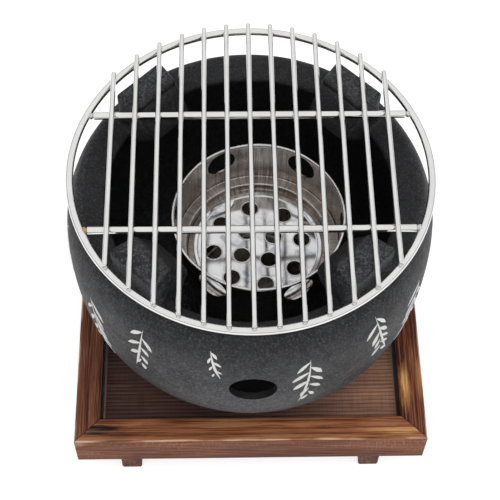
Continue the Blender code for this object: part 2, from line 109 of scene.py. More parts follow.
# Lugs, given by their distance from the axis, drop below their top and width
LUG_TURNS = (45, 135, 225, 315)
PAD_STEP = 2.2 * MM
PAD_INNER = 72 * MM
PAD_OUTER = 89 * MM
PAD_INNER_WIDTH = 28.4 * MM
PAD_OUTER_WIDTH = 34.4 * MM
PAD_DEPTH = 8 * MM
PAD_ROUNDING = 2.4 * MM
BUTTRESS_INSET = 0.8 * MM
BUTTRESS_WIDTH = 40 * MM
BUTTRESS_ROUNDING = 4 * MM

# Stepped cup
SHEET_STEPS = 144
SHEET = 1 * MM
RIM_ROLL = 1.9 * MM
CUP_RADIUS = 50 * MM
LEDGE_DROP = 31 * MM
NECK_RADIUS = 41.5 * MM
NECK_LIP = 1.2 * MM
PAN_CORNER = 5 * MM
BEAD_HEIGHT = 4 * MM
BEAD_SLOPE = 0.4 * MM
CUP_HOLE_DIAMETER = 18 * MM
CUP_HOLE_DROP = 10.7 * MM
CUP_HOLE_TURNS = (56.5, 116.5, 176.5)

# Ember plate
PLATE_RADIUS = (PLATE_HIGH.x - PLATE_LOW.x) / 2
PLATE_THICKNESS = 1 * MM
PLATE_RIM = 1.5 * MM
PLATE_SEAT_WIDTH = 1.8 * MM
PLATE_HOLE_DIAMETER = 9.5 * MM
PLATE_LIP = 0.45 * MM
PLATE_RINGS = ((11.4 * MM, 4, 33.75), (26.5 * MM, 8, 9.0))

# Grate
RING_WIRE = RING_HIGH.z - RING_LOW.z
RING_RADIUS = RING_HIGH.x - RING_WIRE / 2
RING_LEVEL = (RING_HIGH.z + RING_LOW.z) / 2
CROSS_RODS = ("cross_rod_front", "cross_rod_back")
BAR_WIRE = 2.9 * MM
BARS = [f"grate_bar_{i + 1:02d}" for i in range(13)]
BAR_END_ROUNDING = 1.0 * MM
NUGGET = 1.5 * MM
END_NUGGET_SHARE = 1.35
SEAM_TURN = 108

# Tray
RAIL_WIDTH = 15 * MM
RAIL_ROUNDING = 1.6 * MM
MITRE_GAP = 0.2 * MM
GROOVE_PITCH = 2.5 * MM
GROOVE_DEPTH = 0.28 * MM
RELIEF = 0.10 * MM
RELIEF_PITCH = 3 * MM
FACE_CUTS = 12

# Colours
# Black of the coating's dark specks, also used for painted shade on the bowl
SPECK_AND_SHADE_BLACK = (0.006, 0.006, 0.0065)
SCORCH = (0.020, 0.014, 0.017)
GOLD = (0.50, 0.21, 0.068)
PALE_GOLD = (0.84, 0.50, 0.20)
LINE_GOLD = (0.42, 0.185, 0.075)
PALE_WEAR = (0.46, 0.24, 0.14)
WORN_EDGE = (0.72, 0.47, 0.33)
SIDE_BROWN = (0.17, 0.055, 0.030)
SIDE_TAN = (0.30, 0.112, 0.062)
DULL_PURPLE = (0.060, 0.028, 0.027)
BATTEN_SIDES = ((0.075, 0.027, 0.014), (0.15, 0.062, 0.032))

# Rails, each a quarter turn on: seed of the grain, colours across the top, and what differs
RAILS = {
    "front": (
        0.31,
        [(0.0, (0.40, 0.16, 0.075)), (0.3, (0.29, 0.098, 0.040)), (0.55, (0.45, 0.18, 0.074)),
         (0.8, (0.30, 0.10, 0.042)), (1.0, (0.17, 0.055, 0.028))],
        {"patches": [
            (-89, -95.5, 0, 4.2, 4.5, SCORCH, 0.97), (-103, -103, 4, 5.0, 1.6, WORN_EDGE, 0.7),
            (-58, -97.5, 0, 1.6, 28.0, SCORCH, 0.6), (88, -98, 0, 2.4, 9.0, PALE_GOLD, 0.6),
            (10, -92, 0, 3.0, 16.0, GOLD, 0.5), (-62, -91, 0, 2.2, 9.0, GOLD, 0.6),
            (-78, -101, 4, 7.0, 2.2, SCORCH, 0.35),
        ]},
    ),
    "right": (
        0.57,
        [(0.0, (0.05, 0.014, 0.012)), (0.25, (0.12, 0.033, 0.019)), (0.5, (0.19, 0.055, 0.025)),
         (0.75, (0.12, 0.034, 0.019)), (1.0, (0.045, 0.014, 0.011))],
        {"dark": 0.3, "gold": 0.1, "patches": [
            (-69, -92.4, 0, 4.6, 3.8, GOLD, 0.9), (-67, -92.2, 0, 2.4, 4.4, PALE_GOLD, 0.75),
            (-66, -101.2, 0, 2.6, 6.0, GOLD, 0.75),
        ]},
    ),
    "back": (
        0.83,
        [(0.0, (0.16, 0.05, 0.026)), (0.4, (0.25, 0.09, 0.038)), (0.7, (0.18, 0.06, 0.028)),
         (1.0, (0.09, 0.028, 0.017))],
        {},
    ),
    "left": (
        0.12,
        [(0.0, (0.06, 0.021, 0.017)), (0.2, (0.15, 0.052, 0.032)), (0.6, (0.18, 0.065, 0.036)),
         (1.0, (0.115, 0.04, 0.026))],
        {"waviness": 1.5, "line_scale": 240.0, "dark": 0.55, "gold": 0.15},
    ),
}

# Leaf sprays: place round the bowl in degrees, distance below the rim, size and number of leaves
SPRAYS = [
    (-82, 14, 1.0, 9), (-58, 24, 1.15, 10), (-35, 10, 0.9, 8), (-13, 6, 0.5, 6), (17, 16, 1.05, 9),
    (40, 8, 1.0, 9), (63, 22, 1.1, 10), (88, 12, 0.9, 8), (120, 20, 1.0, 9), (152, 12, 1.0, 9),
    (184, 24, 1.1, 10), (216, 10, 0.9, 8), (247, 20, 1.0, 9),
]
STEM_LENGTH = 46 * MM
STEM_WIDTH = 1.5 * MM
PAINT_THICKNESS = 0.3 * MM
PAINT_GAP = 0.12 * MM
PAINT_REACH = 0.4 * MM


def leave_edit():
    if bpy.context.mode != "OBJECT":
        bpy.ops.object.mode_set(mode="OBJECT")


def activate(*pieces):
    """Selects these objects only, the last one active."""
    leave_edit()
    bpy.ops.object.select_all(action="DESELECT")
    for piece in pieces:
        piece.select_set(True)
    bpy.context.view_layer.objects.active = pieces[-1]


def take_all():
    bpy.ops.mesh.select_all(action="SELECT")


def begin(name, add, **size):
    """Adds a primitive with nothing else selected and opens it for editing."""
    leave_edit()
    bpy.ops.object.select_all(action="DESELECT")
    add(**size)
    piece = bpy.context.object
    piece.name = name
    bpy.ops.object.mode_set(mode="EDIT")
    take_all()
    return piece


def solid(name, add, **size):
    """Adds a primitive that stays as it is."""
    piece = begin(name, add, **size)
    leave_edit()
    return piece


def block(name, place, size):
    """Adds a box and opens it for editing, its place and size already in its mesh."""
    piece = settle(solid(name, bpy.ops.mesh.primitive_cube_add, size=1, location=place, scale=size))
    bpy.ops.object.mode_set(mode="EDIT")
    return piece


def pick(piece, kind, test):
    """Selects the piece's VERT, EDGE or FACE elements that pass the test."""
    bpy.ops.mesh.select_mode(type=kind)
    bpy.ops.mesh.select_all(action="DESELECT")
    bm = bmesh.from_edit_mesh(piece.data)
    elements = {"VERT": bm.verts, "EDGE": bm.edges, "FACE": bm.faces}[kind]
    for element in elements:
        if test(element):
            element.select_set(True)
    bm.select_flush_mode()
    bmesh.update_edit_mesh(piece.data)


def apply(piece, kind, **settings):
    """Adds a modifier with these settings and applies it."""
    activate(piece)
    modifier = piece.modifiers.new(kind.title(), kind)
    for key, value in settings.items():
        setattr(modifier, key, value)
    bpy.ops.object.modifier_apply(modifier=modifier.name)
    return piece


def combine(piece, operation, helper):
    """Joins the helper to the piece or cuts it out, and deletes it."""
    apply(piece, "BOOLEAN", operation=operation, object=helper, solver="EXACT")
    bpy.data.objects.remove(helper, do_unlink=True)


def copied(piece, name):
    """A copy with its own mesh."""
    activate(piece)
    bpy.ops.object.duplicate()
    copy = bpy.context.object
    copy.name = name
    return copy


def settle(piece):
    """Puts the piece's place into its mesh."""
    activate(piece)
    bpy.ops.object.transform_apply(location=True, rotation=True, scale=True)
    return piece


def turned(piece, azimuth):
    """Closes the mesh and turns the piece round the axis by so many degrees."""
    close_up()
    leave_edit()
    piece.rotation_euler.z = math.radians(azimuth)
    return settle(piece)


def joined(pieces, name):
    activate(*pieces)
    bpy.ops.object.join()
    piece = bpy.context.object
    piece.name = name
    return piece


def close_up():
    """Merges doubles and turns the faces outwards."""
    bpy.ops.mesh.select_mode(type="VERT")
    take_all()
    bpy.ops.mesh.remove_doubles(threshold=0.01 * MM)
    bpy.ops.mesh.normals_make_consistent(inside=False)


def hand_over(piece, body, material, nodes=(), sharp=35):
    """Shades the piece, gives it its material and sets what it rides on and stands for."""
    settle(piece)
    bpy.ops.object.shade_smooth_by_angle(angle=math.radians(sharp))
    piece.data.materials.clear()
    piece.data.materials.append(material)
    if nodes:
        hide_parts(*nodes)
    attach(piece, body)
    return piece


def drawn(name, points):
    """A line of edges through (x, z) points in the plane y = 0, drawn from one vertex."""
    piece = begin(name, bpy.ops.mesh.primitive_plane_add, size=MM)
    bpy.ops.mesh.merge(type="CENTER")
    bpy.ops.transform.translate(value=(points[0][0], 0, points[0][1]))
    for (x, z), (next_x, next_z) in zip(points, points[1:]):
        bpy.ops.mesh.extrude_vertices_move(TRANSFORM_OT_translate={"value": (next_x - x, 0, next_z - z)})
    return piece


def spun(name, profile, steps, middle=0.0):
    """The profile of (radius, height) from axis to axis, spun round the vertical line at x = middle."""
    piece = drawn(name, [(middle + radius, height) for radius, height in profile])
    take_all()
    bpy.ops.mesh.spin(steps=steps, angle=math.tau, center=(middle, 0, 0), axis=(0, 0, 1))
    close_up()
    leave_edit()
    return piece


def arc(center, radius, start, end, count):
    """Points along an arc, angles in degrees."""
    turns = [math.radians(start + (end - start) * i / (count - 1)) for i in range(count)]
    return [(center[0] + radius * math.cos(t), center[1] + radius * math.sin(t)) for t in turns]


def superellipse(width, height, start, end, count):
    """Points of a rounded square quarter, angles in degrees."""
    points = []
    for i in range(count):
        t = math.radians(start + (end - start) * i / (count - 1))
        x, y = (max(share, 0.0) ** (2 / FULLNESS) for share in (math.cos(t), math.sin(t)))
        points.append((width * x, height * y))
    return points


def polar(radius, azimuth):
    """x and y of a point at this distance from the axis, azimuth in degrees from +X."""
    return radius * math.cos(math.radians(azimuth)), radius * math.sin(math.radians(azimuth))


# Node groups and materials


def feed(node, inputs):
    """Gives a node's inputs values or other nodes' outputs. Underscores in their names stand for spaces."""
    for key, value in inputs.items():
        socket = node.inputs[key.replace("_", " ") if isinstance(key, str) else key]
        if isinstance(value, bpy.types.NodeSocket):
            node.id_data.links.new(value, socket)
        else:
            socket.default_value = (*value, 1.0) if socket.type == "RGBA" else value


def source(node, kind):
    """Adds a node without inputs to this node's tree. Returns its outputs."""
    return node.id_data.nodes.new("ShaderNode" + kind).outputs


def put(kind, inputs, **settings):
    """Adds a node to the tree that its inputs come from. Returns its outputs."""
    tree = next(value.id_data for value in inputs.values() if isinstance(value, bpy.types.NodeSocket))
    node = tree.nodes.new("ShaderNode" + kind)
    for key, value in settings.items():
        setattr(node, key, value)
    feed(node, inputs)
    return node.outputs


def calc(operation, *values):
    """The output of a Math node."""
    return put("Math", dict(enumerate(values)), operation=operation)[0]


def times(a, b):
    return calc("MULTIPLY", a, b)


def distance(a, b):
    """The square root of the sum of two squares."""
    return calc("SQRT", calc("MULTIPLY_ADD", a, a, times(b, b)))


def vectors(operation, *values):
    """The output of a Vector Math node."""
    outputs = put("VectorMath", dict(enumerate(values)), operation=operation)
    return outputs["Value" if operation in ("LENGTH", "DOT_PRODUCT") else "Vector"]


def split(vector):
    """The X, Y and Z outputs for a vector."""
    return put("SeparateXYZ", {0: vector})


def noisy(place, scale, detail, roughness=0.5, distortion=0.0):
    """Noise. A scale for each axis draws it out along the axes where it is small."""
    if isinstance(scale, tuple):
        place, scale = put("Mapping", {"Vector": place, "Scale": scale})[0], 1.0
    return put("TexNoise", {
        "Vector": place, "Scale": scale, "Detail": detail, "Roughness": roughness, "Distortion": distortion,
    })["Fac"]


def ramp(factor, stops):
    """A colour ramp over (place, colour) stops."""
    node = factor.id_data.nodes.new("ShaderNodeValToRGB")
    elements = node.color_ramp.elements
    while len(elements) < len(stops):
        elements.new(0.5)
    for element, (place, color) in zip(elements, stops):
        element.position = place
        element.color = (*color, 1.0)
    feed(node, {"Fac": factor})
    return node.outputs["Color"]


def mixed(factor, a, b, blend="MIX"):
    """Two colours mixed by a factor."""
    return put("Mix", {0: factor, 6: a, 7: b}, data_type="RGBA", blend_type=blend)[2]


def layered(shade, *layers):
    """The shade with layers of (factor, colour) or (factor, colour, blend) laid over it in turn."""
    for factor, *layer in layers:
        shade = mixed(factor, shade, *layer)
    return shade


def between(value, low, high, out_low=0.0, out_high=1.0):
    """The value's place between low and high, as a share that is carried to the new range."""
    inputs = {"Value": value, "From Min": low, "From Max": high, "To Min": out_low, "To Max": out_high}
    return put("MapRange", inputs)["Result"]


def new_group(name, inputs, outputs):
    """A shader node group, where an input without a number is a vector. Returns its tree, inputs and output."""
    tree = bpy.data.node_groups.new(name, "ShaderNodeTree")
    for label, number in inputs.items():
        if number is None:
            tree.interface.new_socket(label, in_out="INPUT", socket_type="NodeSocketVector")
        else:
            socket = tree.interface.new_socket(label, in_out="INPUT", socket_type="NodeSocketFloat")
            socket.default_value = number
    for label in outputs:
        tree.interface.new_socket(label, in_out="OUTPUT", socket_type="NodeSocketFloat")
    return tree, tree.nodes.new("NodeGroupInput").outputs, tree.nodes.new("NodeGroupOutput")


def use(group, **inputs):
    """Places one of the shared node groups. Returns its outputs."""
    return put("Group", inputs, node_tree=GROUPS[group])


def grain_group():
    """Wavy growth lines, broad clouds, fine fibres and pores that run along X."""
    tree, given, out = new_group(
        "wood grain", {"Vector": None, "Line Scale": 130.0, "Waviness": 4.0, "Seed": 0.0},
        ["Lines", "Cloud", "Fibres", "Pores"],
    )
    moved = vectors("ADD", given["Vector"], given["Seed"])
    long_way = put("Mapping", {"Vector": moved, "Scale": (0.14, 1.0, 1.0)})[0]
    lines = put(
        "TexWave",
        {"Vector": long_way, "Scale": given["Line Scale"], "Distortion": given["Waviness"],
         "Detail": 3.0, "Detail Scale": 0.42, "Detail Roughness": 0.62},
        wave_type="RINGS", rings_direction="X", wave_profile="SIN",
    )
    feed(out, {
        "Lines": lines["Fac"],
        "Cloud": noisy(moved, (11.0, 85.0, 85.0), 4.0, 0.55),
        "Fibres": noisy(moved, (32.0, 1500.0, 1500.0), 3.0, 0.6),
        "Pores": between(noisy(moved, (160.0, 2600.0, 2600.0), 1.0), 0.62, 0.72),
    })
    return tree


def wear_group():
    """A mask round the line y = Across, z = Up, broken up by noise: a worn long edge."""
    tree, given, out = new_group(
        "edge wear", {"Vector": None, "Across": 0.0, "Up": 0.0, "Reach": 0.002}, ["Mask"],
    )
    _, y, z = split(given["Vector"])
    away = distance(calc("SUBTRACT", y, given["Across"]), calc("SUBTRACT", z, given["Up"]))
    near = between(calc("DIVIDE", away, given["Reach"]), 1.0, 0.6)
    broken = noisy(given["Vector"], (60.0, 500.0, 500.0), 4.0)
    feed(out, {"Mask": times(near, between(broken, 0.4, 0.6))})
    return tree


def spot_group():
    """A soft patch round a point, stretched along the piece, with a streaky edge."""
    tree, given, out = new_group(
        "patch", {"Vector": None, "Middle": None, "Reach": 0.01, "Stretch": None}, ["Mask"],
    )
    away = vectors("SUBTRACT", given["Vector"], given["Middle"])
    far = vectors("LENGTH", vectors("DIVIDE", away, given["Stretch"]))
    wander = noisy(vectors("DIVIDE", given["Vector"], given["Stretch"]), 420.0, 4.0, 0.65)
    uneven = calc("MULTIPLY_ADD", wander, 1.1, calc("DIVIDE", far, given["Reach"]))
    feed(out, {"Mask": between(uneven, 1.55, 1.0)})
    return tree


def brushing_group():
    """Fine streaks round the upright axis at Middle, drawn out along the round or upwards by the scales."""
    tree, given, out = new_group(
        "turned brushing", {"Vector": None, "Middle": None, "Round Scale": 2.0, "Up Scale": 2500.0},
        ["Streaks", "Cloud"],
    )
    x, y, z = split(vectors("SUBTRACT", given["Vector"], given["Middle"]))
    turn = calc("ARCTAN2", y, x)
    place = put("CombineXYZ", {
        "X": times(calc("COSINE", turn), given["Round Scale"]),
        "Y": times(calc("SINE", turn), given["Round Scale"]),
        "Z": times(calc("ADD", z, distance(x, y)), given["Up Scale"]),
    })[0]
    feed(out, {"Streaks": noisy(place, 1.0, 3.0, 0.65), "Cloud": noisy(given["Vector"], 60.0, 3.0)})
    return tree


def smudge_group():
    """Soft uneven patches, as of handling, and fine scratches."""
    tree, given, out = new_group("handling marks", {"Vector": None, "Scale": 40.0}, ["Smudges", "Scratches"])
    bent = put("TexNoise", {"Vector": given["Vector"], "Scale": 30.0, "Detail": 2.0})["Color"]
    place = vectors("ADD", given["Vector"], vectors("MULTIPLY", bent, (0.02, 0.02, 0.02)))
    lines = put("Mapping", {"Vector": place, "Scale": (2200.0, 90.0, 700.0), "Rotation": (0.3, 0.2, 0.7)})[0]
    feed(out, {
        "Smudges": noisy(given["Vector"], given["Scale"], 4.0, distortion=0.6),
        "Scratches": between(noisy(lines, 1.0, 1.0), 0.66, 0.74),
    })
    return tree


def new_material(name, **values):
    """A material with one Principled shader. Returns the material and its shader."""
    material = bpy.data.materials.new(name)
    material.use_nodes = True
    shader = material.node_tree.nodes["Principled BSDF"]
    feed(shader, values)
    return material, shader


def here(shader):
    return source(shader, "TexCoord")["Object"]


def skin(shader, color, roughness, height, strength, depth):
    """Gives the shader its colour, roughness and bumps."""
    bump = put("Bump", {"Height": height, "Strength": strength, "Distance": depth})["Normal"]
    feed(shader, {"Base Color": color, "Roughness": roughness, "Normal": bump})


def coated_casting():
    """Dark grey granular coating on cast metal, mottled and speckled, with painted shade inside and towards the
    rim.
    """
    material, shader = new_material("coated casting", Metallic=0.0, IOR=1.45, Specular_IOR_Level=0.4)
    place = here(shader)
    x, y, z = split(place)
    grit = noisy(place, 800.0, 3.0, 0.65)
    lumps = put("TexVoronoi", {"Vector": place, "Scale": 560.0, "Randomness": 1.0}, feature="SMOOTH_F1")
    blotch = noisy(place, 190.0, 4.0, 0.6)
    level = calc("MULTIPLY_ADD", noisy(place, 36.0, 4.0, 0.6), 0.5, times(blotch, 0.5))
    base = ramp(level, [(0.41, (0.011, 0.0112, 0.0132)), (0.59, (0.035, 0.036, 0.041))])
    # Painted shade: darker towards the rim, where the ring and the lip shade the wall, and less so on the lugs.
    near_rim = between(z, BOWL_BASE + 74 * MM, BOWL_BASE + 110 * MM, 0.0, 0.55)
    lug_shade_share = between(z, BOWL_BASE + RIM_HEIGHT, BOWL_BASE + RIM_HEIGHT + 4 * MM, 1.0, 0.4)
    level_place = put("CombineXYZ", {"X": x, "Y": y})[0]
    # Painted shade on the faces that turn inwards, and on the wall of the draught hole.
    outward = vectors("DOT_PRODUCT", level_place, source(shader, "NewGeometry")["Normal"])
    inside = between(outward, 0.0, -10 * MM, 0.0, 0.74)
    from_vent = distance(x, calc("SUBTRACT", z, BOWL_BASE + VENT_HEIGHT))
    vent_wall = between(from_vent, VENT_DIAMETER / 2 + 0.4 * MM, VENT_DIAMETER / 2 + 0.1 * MM, 0.0, 0.95)
    in_vent = times(vent_wall, calc("LESS_THAN", y, 0.0))
    # All the painted shade, laid on in the same black as the coating's dark specks.
    painted_shade = calc("MAXIMUM", times(near_rim, lug_shade_share), inside)
    shade = layered(
        base,
        (between(grit, 0.51, 0.65, 0.0, 0.8), (0.124, 0.127, 0.136)),
        (between(grit, 0.47, 0.35, 0.0, 0.8), SPECK_AND_SHADE_BLACK),
        (calc("MAXIMUM", painted_shade, in_vent), SPECK_AND_SHADE_BLACK),
    )
    height = calc("MULTIPLY_ADD", grit, 0.7, times(lumps["Distance"], 0.6))
    skin(shader, shade, between(level, 0.35, 0.65, 0.68, 0.5), height, 0.8, 0.45 * MM)
    return material


def brush_paint():
    """White paint laid on with a brush, thin at the edges of its strokes."""
    material, shader = new_material("brush paint")
    place = here(shader)
    dry = noisy(place, 1400.0, 2.0)
    worn = times(between(dry, 0.58, 0.68), between(noisy(place, 220.0, 3.0), 0.5, 0.66))
    skin(shader, mixed(worn, (0.88, 0.88, 0.86), (0.30, 0.30, 0.30)), 0.6, dry, 0.3, 0.2 * MM)
    return material


def cup_steel():
    """Sheet steel with a painted highlight at its rim and the turn of its ledge, paler towards its front, with
    dark and pale streaks down the wall, and darker at its sides."""
    material, shader = new_material("cup sheet", Metallic=1.0)
    place = here(shader)
    x, y, z = split(place)
    brushed = use("brushing", Vector=place, Middle=(CUP_X, 0.0, 0.0), Round_Scale=42.0, Up_Scale=26.0)
    smudges = use("smudge", Vector=place, Scale=55.0)["Smudges"]
    streaks = brushed["Streaks"]
    tone = ramp(brushed["Cloud"], [(0.35, (0.345, 0.305, 0.275)), (0.65, (0.52, 0.475, 0.44))])
    aside = calc("ABSOLUTE", calc("SUBTRACT", x, CUP_X))
    # Paler towards the front of the cup.
    paler_front = between(y, -34 * MM, -48 * MM, 0.0, 0.75)
    # Painted highlight: the roll of the rim and the turn of the ledge are made pale.
    near_rim = between(z, CUP_TOP - RIM_ROLL - 0.6 * MM, CUP_TOP - RIM_ROLL + 0.3 * MM)
    from_ledge = calc("ABSOLUTE", calc("SUBTRACT", z, CUP_TOP - LEDGE_DROP - 0.9 * MM))
    turn = between(from_ledge, 1.0 * MM, 0.5 * MM, 0.0, 0.6)
    shade = layered(
        tone,
        (between(streaks, 0.44, 0.62, 0.0, 0.7), (0.155, 0.128, 0.112)),
        (between(streaks, 0.42, 0.32, 0.0, 0.6), (0.62, 0.565, 0.51)),
        (between(aside, 30 * MM, 47 * MM, 0.0, 0.55), (0.13, 0.108, 0.095)),
        (calc("MAXIMUM", paler_front, calc("MAXIMUM", near_rim, turn)), (0.72, 0.71, 0.70)),
    )
    skin(shader, shade, between(smudges, 0.3, 0.7, 0.18, 0.34), streaks, 0.12, 0.2 * MM)
    return material


def plate_steel():
    """Bright pressed sheet with a faint wave and fine scratches, matt on the lips of its holes, which are pale
    there as a painted highlight.
    """
    material, shader = new_material("plate sheet", Metallic=1.0)
    place = here(shader)
    marks = use("smudge", Vector=place, Scale=70.0)
    cloud = noisy(place, 95.0, 2.0, distortion=0.8)
    tone = ramp(cloud, [(0.36, (0.38, 0.39, 0.43)), (0.46, (0.59, 0.59, 0.60)), (0.7, (0.72, 0.72, 0.72))])
    upward = split(source(shader, "NewGeometry")["True Normal"])["Z"]
    # Painted highlight: the lips of the holes are made pale; they are also matt.
    edge = times(between(upward, 0.985, 0.93), between(upward, 0.1, 0.2))
    gloss = between(marks["Smudges"], 0.3, 0.7, 0.05, 0.10)
    scratched = calc("MULTIPLY_ADD", marks["Scratches"], 0.08, gloss)
    roughness = calc("MULTIPLY_ADD", edge, 0.4, scratched)
    wave = noisy(place, 30.0, 1.0)
    skin(shader, mixed(edge, tone, (0.95, 0.95, 0.95)), roughness, wave, 0.25, 1.2 * MM)
    return material


def wire_steel():
    """Bright drawn wire with faint dull marks."""
    material, shader = new_material("grate wire", Metallic=1.0)
    marks = use("smudge", Vector=here(shader), Scale=60.0)
    tone = ramp(marks["Smudges"], [(0.3, (0.71, 0.705, 0.70)), (0.7, (0.78, 0.775, 0.77))])
    roughness = between(marks["Smudges"], 0.3, 0.7, 0.05, 0.09)
    skin(shader, tone, roughness, marks["Scratches"], 0.1, 0.04 * MM)
    return material


def weld_steel():
    """Weld metal: duller than the wire, with a straw and brown tint at one end of the front cross rod."""
    material, shader = new_material("weld metal", Metallic=1.0)
    place = here(shader)
    low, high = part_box("cross_rod_front")
    end = (low.x, (low.y + high.y) / 2, high.z)
    hot = use("spot", Vector=place, Middle=end, Reach=9 * MM, Stretch=(1.0, 1.0, 1.0))["Mask"]
    pits = noisy(place, 1500.0, 2.0)
    plain = ramp(pits, [(0.35, (0.46, 0.45, 0.44)), (0.6, (0.70, 0.70, 0.70))])
    tone = mixed(hot, plain, (0.50, 0.30, 0.15))
    skin(shader, tone, between(pits, 0.3, 0.7, 0.22, 0.4), pits, 0.3, 0.15 * MM)
    return material


def screw_steel():
    """Zinc plated screw."""
    material, shader = new_material("zinc screw", Metallic=1.0)
    smudges = use("smudge", Vector=here(shader), Scale=300.0)["Smudges"]
    tone = ramp(smudges, [(0.3, (0.42, 0.41, 0.36)), (0.7, (0.62, 0.61, 0.56))])
    feed(shader, {"Base Color": tone, "Roughness": between(smudges, 0.3, 0.7, 0.28, 0.45)})
    return material


def scorched_wood(name, turn, seed, across, line_scale=165.0, waviness=5.5, dark=0.6, gold=0.35, foot=0.85,
                  inside=1.0, patches=(), sides=(SIDE_BROWN, SIDE_TAN)):
    """Scorched, brushed and oiled wood. Turned back by so many degrees, the piece lies in front along X, and
    the colours of its top go from its outer to its inner edge. Patches are (x, y, depth below the top, reach,
    stretch, colour, share), the first four in millimetres. Foot is how dull its lowest edge is, inside is how
    black its inner side is, and sides are the two colours of its upright faces."""
    material, shader = new_material(name, Metallic=0.0, IOR=1.45, Specular_IOR_Level=0.12)
    place = put("Mapping", {"Vector": here(shader), "Rotation": (0.0, 0.0, -math.radians(turn))})[0]
    _, y, z = split(place)
    grain = use("grain", Vector=place, Line_Scale=line_scale, Waviness=waviness, Seed=seed)
    cloud, lines, fibres = grain["Cloud"], grain["Lines"], grain["Fibres"]
    share = between(y, FRONT_LOW.y, FRONT_LOW.y + RAIL_WIDTH)
    top = ramp(calc("MULTIPLY_ADD", calc("SUBTRACT", cloud, 0.5), 1.5, share), across)
    side = ramp(cloud, [(0.40, sides[0]), (0.58, sides[1])])
    upward = split(source(shader, "NewGeometry")["Normal"])["Z"]
    upright = between(upward, 0.6, 0.3)
    shade = mixed(between(upward, 0.35, 0.8), side, top)
    for along, aside, depth, reach, stretch, color, amount in patches:
        middle = (along * MM, aside * MM, FRONT_HIGH.z - depth * MM)
        patch = use("spot", Vector=place, Middle=middle, Reach=reach * MM, Stretch=(stretch, 1.0, 1.0))
        shade = mixed(times(patch["Mask"], amount), shade, color)
    nicks = noisy(place, (950.0, 900.0, 170.0), 3.0)
    scraped = times(between(nicks, 0.53, 0.62), between(cloud, 0.45, 0.56))
    low = between(z, FRONT_LOW.z + 6 * MM, FRONT_LOW.z + 0.5 * MM, 0.0, foot)
    hidden = between(share, 0.7, 0.9, 0.0, inside)
    worn = use("wear", Vector=place, Across=FRONT_LOW.y, Up=FRONT_HIGH.z, Reach=1.5 * MM)["Mask"]
    shade = layered(
        shade,
        (between(lines, 0.55, 0.98, 0.0, dark), (0.30, 0.20, 0.17), "MULTIPLY"),
        (between(lines, 0.3, 0.02, 0.0, gold), LINE_GOLD),
        (between(fibres, 0.5, 0.66, 0.0, 0.85), (0.35, 0.26, 0.23), "MULTIPLY"),
        (between(fibres, 0.46, 0.32, 0.0, 0.55), PALE_WEAR),
        (times(grain["Pores"], 0.4), (0.012, 0.007, 0.005)),
        (times(scraped, times(upright, 0.45)), PALE_WEAR),
        (times(low, upright), DULL_PURPLE),
        (times(hidden, upright), (0.010, 0.006, 0.005)),
        (times(worn, 0.9), WORN_EDGE),
    )
    height = calc("MULTIPLY_ADD", fibres, -0.6, times(lines, -0.6))
    skin(shader, shade, between(lines, 0.0, 1.0, 0.45, 0.62), height, 0.6, 0.35 * MM)
    return material


def board_wood():
    """Scorched board with grooves along X and a faint comb across, paler to the right and at its ends."""
    material, shader = new_material("board wood", Metallic=0.0, IOR=1.45, Specular_IOR_Level=0.12)
    place = here(shader)
    x = split(place)["X"]
    grain = use("grain", Vector=place, Line_Scale=40.0, Waviness=5.0, Seed=0.44)
    fibres = grain["Fibres"]
    spread = calc("MULTIPLY_ADD", calc("SUBTRACT", grain["Cloud"], 0.5), 0.12, x)
    tone = ramp(between(spread, BOARD_LOW.x, BOARD_HIGH.x), [
        (0.0, (0.105, 0.056, 0.047)), (0.45, (0.12, 0.063, 0.050)), (0.75, (0.29, 0.155, 0.112)),
        (1.0, (0.51, 0.27, 0.172)),
    ])
    grooves = put(
        "TexWave",
        {"Vector": place, "Scale": math.tau / (20 * GROOVE_PITCH), "Distortion": 1.2, "Detail Scale": 0.3},
        wave_type="BANDS", bands_direction="Y",
    )["Fac"]
    comb = noisy(place, (1100.0, 60.0, 1.0), 2.0)
    ends = between(calc("ABSOLUTE", x), BOARD_HIGH.x - 1.1 * MM, BOARD_HIGH.x - 0.5 * MM, 0.0, 0.8)
    shade = layered(
        tone,
        (between(grooves, 0.45, 1.0, 0.0, 0.6), (0.25, 0.21, 0.21), "MULTIPLY"),
        (between(comb, 0.5, 0.68, 0.0, 0.3), (0.4, 0.36, 0.34), "MULTIPLY"),
        (between(fibres, 0.5, 0.66, 0.0, 0.6), (0.3, 0.26, 0.25), "MULTIPLY"),
        (between(fibres, 0.45, 0.3, 0.0, 0.3), (0.26, 0.17, 0.13)),
        (ends, (0.30, 0.21, 0.14)),
    )
    skin(shader, shade, between(grooves, 0.0, 1.0, 0.5, 0.7), fibres, 0.4, 0.25 * MM)
    return material


# Bowl


def shoulder_height():
    """Height of the shoulder's curve above the belly, so that it passes through the rim."""
    share = (RIM_RADIUS - SHOULDER_RADIUS) / (BELLY_RADIUS - SHOULDER_RADIUS)
    return (RIM_HEIGHT - BELLY_HEIGHT) / (1 - share ** FULLNESS) ** (1 / FULLNESS)


def bowl_side(inset, floor, top):
    """The bowl's side from the height top down to its floor, drawn in from the outside by inset."""
    lower = superellipse(BELLY_RADIUS - FOOT_RADIUS - inset, BELLY_HEIGHT - floor, 0, 90, 30)
    rise = shoulder_height() - inset
    end = math.degrees(math.asin(((top - BELLY_HEIGHT) / rise) ** (FULLNESS / 2)))
    upper = superellipse(BELLY_RADIUS - SHOULDER_RADIUS - inset, rise, end, 0, 18)
    points = [(SHOULDER_RADIUS + x, BELLY_HEIGHT + y) for x, y in upper[:-1]]
    return points + [(FOOT_RADIUS + x, BELLY_HEIGHT - y) for x, y in lower]


def bowl_outside():
    return bowl_side(0.0, 0.0, RIM_HEIGHT - RIM_ROUNDING)


